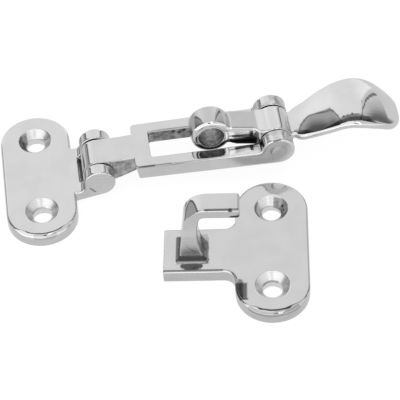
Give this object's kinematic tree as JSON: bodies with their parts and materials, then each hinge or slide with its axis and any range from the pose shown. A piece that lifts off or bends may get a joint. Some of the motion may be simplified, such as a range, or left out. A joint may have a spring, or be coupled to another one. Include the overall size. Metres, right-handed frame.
{
  "type": "over centre toggle latch",
  "caption": "Cast steel over centre latch: a hinged window arm whose cam lever, with a thumb handle, pulls a separate hook keeper tight.",
  "frame": {"origin": "centre of the base plate's underside, on the surface that both halves are screwed to", "axes": "+X along the closed arm from the base towards the thumb handle, +Z out of the mounting surface"},
  "size_m": [0.1093, 0.0811, 0.0228],
  "materials": {
    "cast_steel": "mirror-polished stainless steel casting, with dull as-cast steel where no polishing wheel reaches",
    "pin_steel": "stainless steel pin, ends polished flush with the castings"
  },
  "bodies": {
    "root": {"base_plate": "cast_steel", "base_pin": "pin_steel", "hook_keeper": "cast_steel"},
    "arm": {"arm_frame": "cast_steel", "lever_pin": "pin_steel"},
    "lever": {"cam_lever": "cast_steel"}
  },
  "joints": [
    {"name": "arm_hinge", "type": "hinge", "parent": "root", "child": "arm", "pos_m": [0.0164, 0, 0.00635], "axis": [0, -1, 0], "range_deg": [0, 140]},
    {"name": "lever_hinge", "type": "hinge", "parent": "arm", "child": "lever", "pos_m": [0.0653, 0, 0.0105], "axis": [0, -1, 0], "range_deg": [0, 150]}
  ]
}
